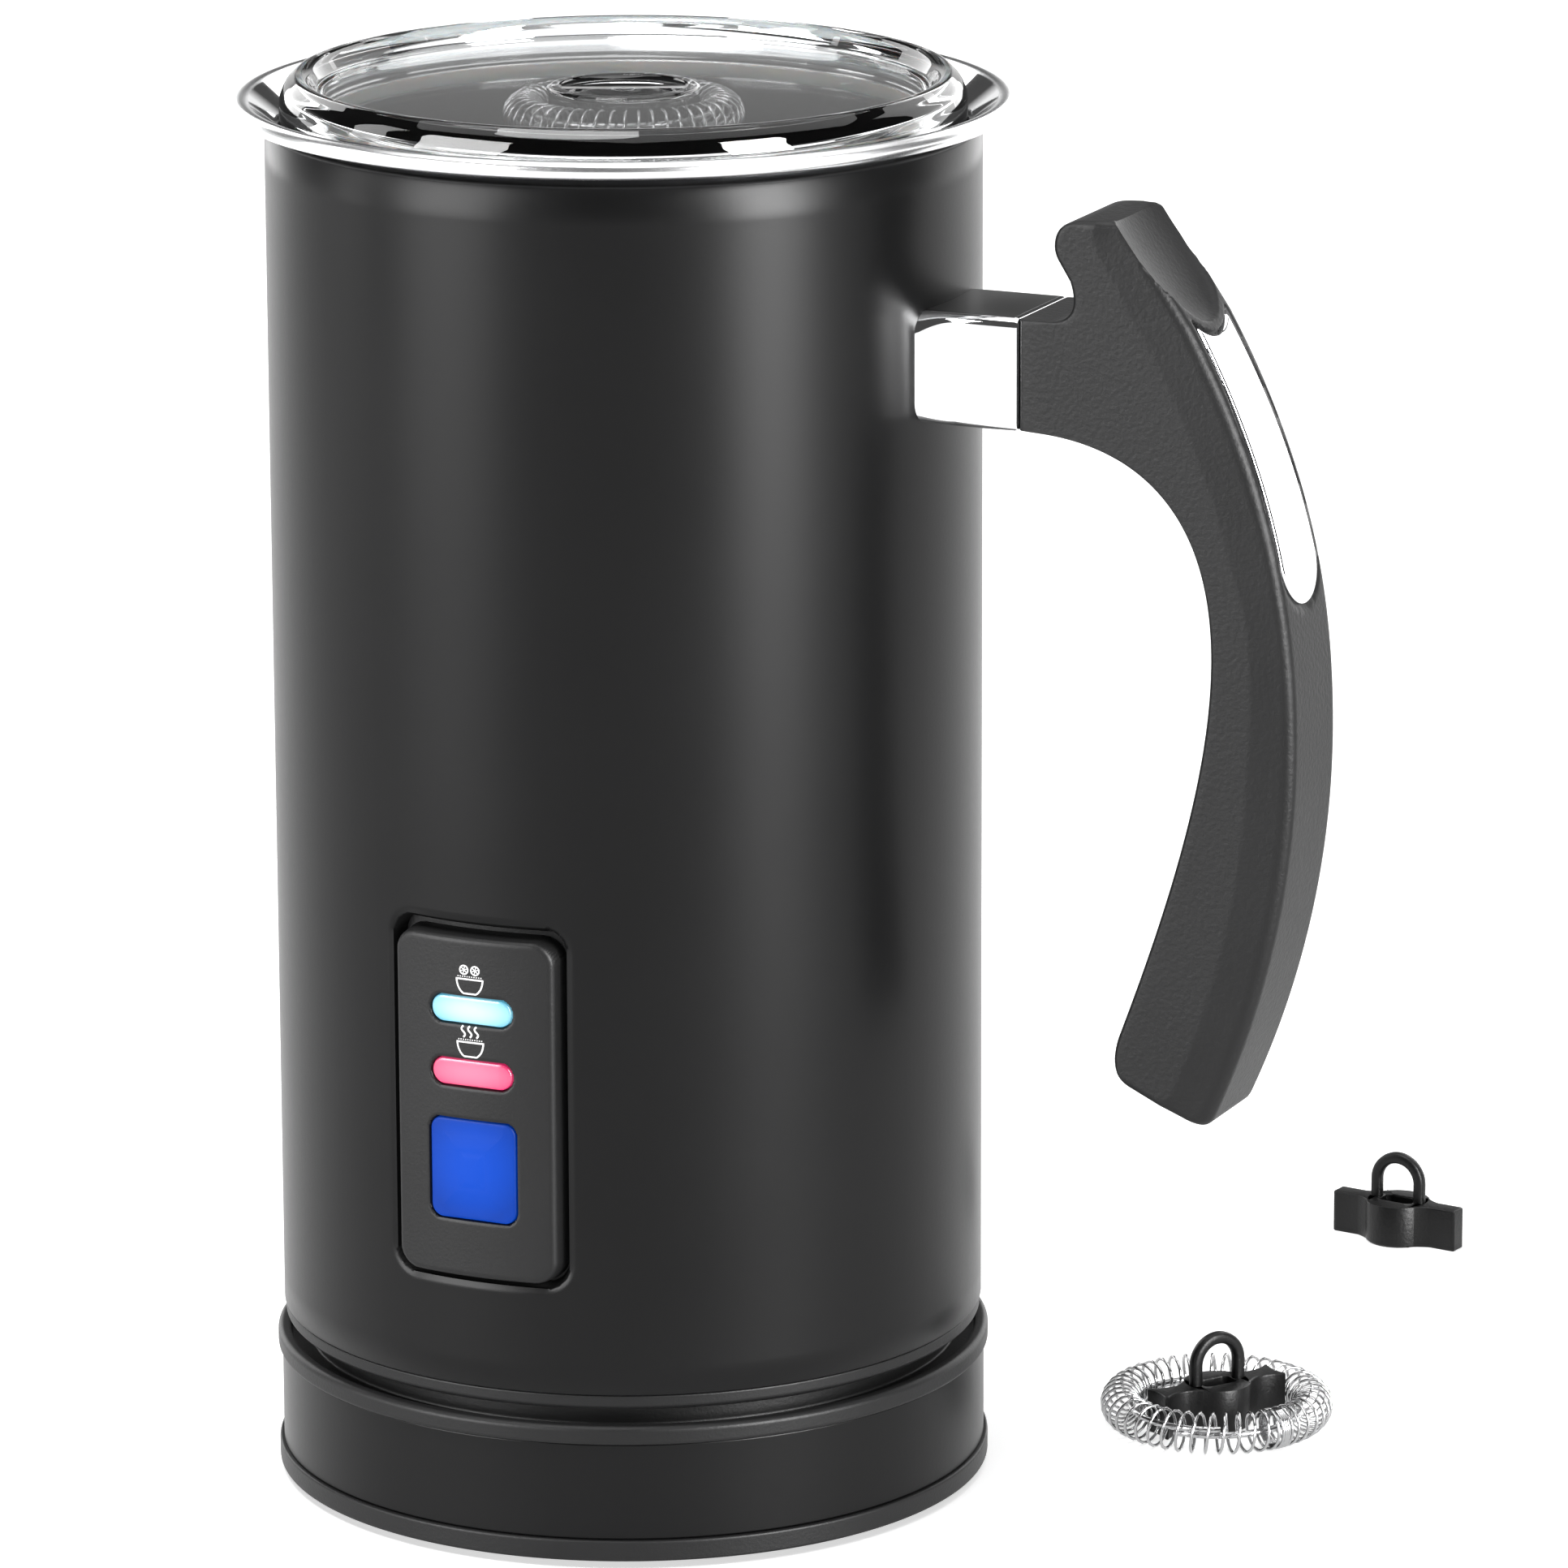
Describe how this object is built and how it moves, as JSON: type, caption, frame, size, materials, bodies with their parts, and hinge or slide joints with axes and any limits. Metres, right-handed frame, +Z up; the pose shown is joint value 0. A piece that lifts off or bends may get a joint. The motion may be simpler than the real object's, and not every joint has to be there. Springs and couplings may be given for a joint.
{
  "type": "electric milk frother",
  "caption": "Tall black electric milk frother with a polished flared lip, clear lid, curved side handle and button panel, on a lift-off power base, with a loose coil whisk and a paddle.",
  "frame": {"origin": "on the jug's axis, at the bottom of the feet, on the surface that the base stands on", "axes": "+Z up, -Y towards the control panel, +X towards the handle; the two loose attachments lie on the same surface at +X and +Y"},
  "size_m": [0.1583, 0.2003, 0.202],
  "materials": {
    "satin_black": "satin black stoving paint",
    "black_plastic": "fine matt moulding",
    "gloss_black": "polished black moulding",
    "polished_steel": "mirror polished",
    "drawn_steel": "drawn stainless steel",
    "clear_lid": "clear polished plastic",
    "silicone": "translucent silicone",
    "rubber": "matt black rubber",
    "brass": "bright brass contacts",
    "aluminium": "plain mill finish",
    "board": "green solder mask",
    "blue_button": "glossy blue",
    "cyan_light": "translucent pale blue",
    "pink_light": "translucent pink",
    "magnet": "plated magnet",
    "ceramic": "unglazed ceramic",
    "white_print": "screen-printed white ink"
  },
  "bodies": {
    "base": {"base_bottom_cover": "black_plastic", "base_wall": "satin_black", "base_top_cover": "gloss_black", "base_connector": "black_plastic", "live_contact": "brass", "neutral_contact": "brass", "foot_1": "rubber", "foot_2": "rubber", "foot_3": "rubber", "foot_4": "rubber", "base_screw_1": "drawn_steel", "base_screw_2": "drawn_steel", "base_screw_3": "drawn_steel", "cord_gland": "rubber"},
    "jug": {"outer_shell": "satin_black", "bottom_housing": "black_plastic", "jug_connector": "black_plastic", "pot_liner": "polished_steel", "heat_plate": "aluminium", "heating_element": "drawn_steel", "thermostat": "ceramic", "thermal_fuse": "drawn_steel", "temperature_sensor": "brass", "spindle_pin": "polished_steel", "motor": "drawn_steel", "motor_mount": "aluminium", "panel_frame": "gloss_black", "cold_light_pipe": "cyan_light", "hot_light_pipe": "pink_light", "control_board": "board", "tact_switch": "black_plastic", "cold_led": "cyan_light", "hot_led": "pink_light", "relay": "black_plastic", "handle_bracket": "polished_steel", "handle_grip": "black_plastic", "handle_inlay": "polished_steel", "handle_screw_1": "drawn_steel", "handle_screw_2": "drawn_steel"},
    "lid": {"lid_cover": "clear_lid", "lid_gasket": "silicone"},
    "spare_whisk": {"spare_whisk_hub": "black_plastic", "spare_whisk_magnet": "magnet", "spare_whisk_coil": "polished_steel", "spare_whisk_core_ring": "polished_steel"},
    "rotor": {"motor_shaft": "polished_steel", "magnet_rotor": "black_plastic", "drive_magnet_1": "magnet", "drive_magnet_2": "magnet"},
    "working_whisk": {"working_whisk_hub": "black_plastic", "working_whisk_magnet": "magnet", "working_whisk_coil": "polished_steel", "working_whisk_core_ring": "polished_steel"},
    "button": {"power_button": "blue_button"},
    "loose_whisk": {"loose_whisk_hub": "black_plastic", "loose_whisk_magnet": "magnet", "loose_whisk_coil": "polished_steel", "loose_whisk_core_ring": "polished_steel"},
    "loose_paddle": {"paddle_hub": "black_plastic", "paddle_magnet": "magnet"}
  },
  "joints": [
    {"name": "jug_lift", "type": "slide", "parent": "base", "child": "jug", "axis": [0, 0, 1], "range_m": [0, 0.06]},
    {"name": "lid_lift", "type": "slide", "parent": "jug", "child": "lid", "axis": [0, 0, 1], "range_m": [0, 0.06]},
    {"name": "spare_whisk_release", "type": "slide", "parent": "lid", "child": "spare_whisk", "axis": [0, 0, -1], "range_m": [0, 0.01]},
    {"name": "rotor_spin", "type": "hinge", "parent": "jug", "child": "rotor", "pos_m": [0, 0, 0.09], "axis": [0, 0, 1], "continuous": true},
    {"name": "working_whisk_spin", "type": "hinge", "parent": "jug", "child": "working_whisk", "pos_m": [0, 0, 0.1], "axis": [0, 0, 1], "continuous": true},
    {"name": "button_press", "type": "slide", "parent": "jug", "child": "button", "axis": [0, 1, 0], "range_m": [0, 0.0008], "stiffness_N_per_m": 1500, "springref_m": -0.0002},
    {"name": "loose_whisk_lift", "type": "slide", "parent": "base", "child": "loose_whisk", "axis": [0, 0, 1], "range_m": [0, 0.05]},
    {"name": "loose_paddle_lift", "type": "slide", "parent": "base", "child": "loose_paddle", "axis": [0, 0, 1], "range_m": [0, 0.05]}
  ],
  "couplings": [
    {"joint": "working_whisk_spin", "follows": "rotor_spin", "ratio": 1}
  ]
}
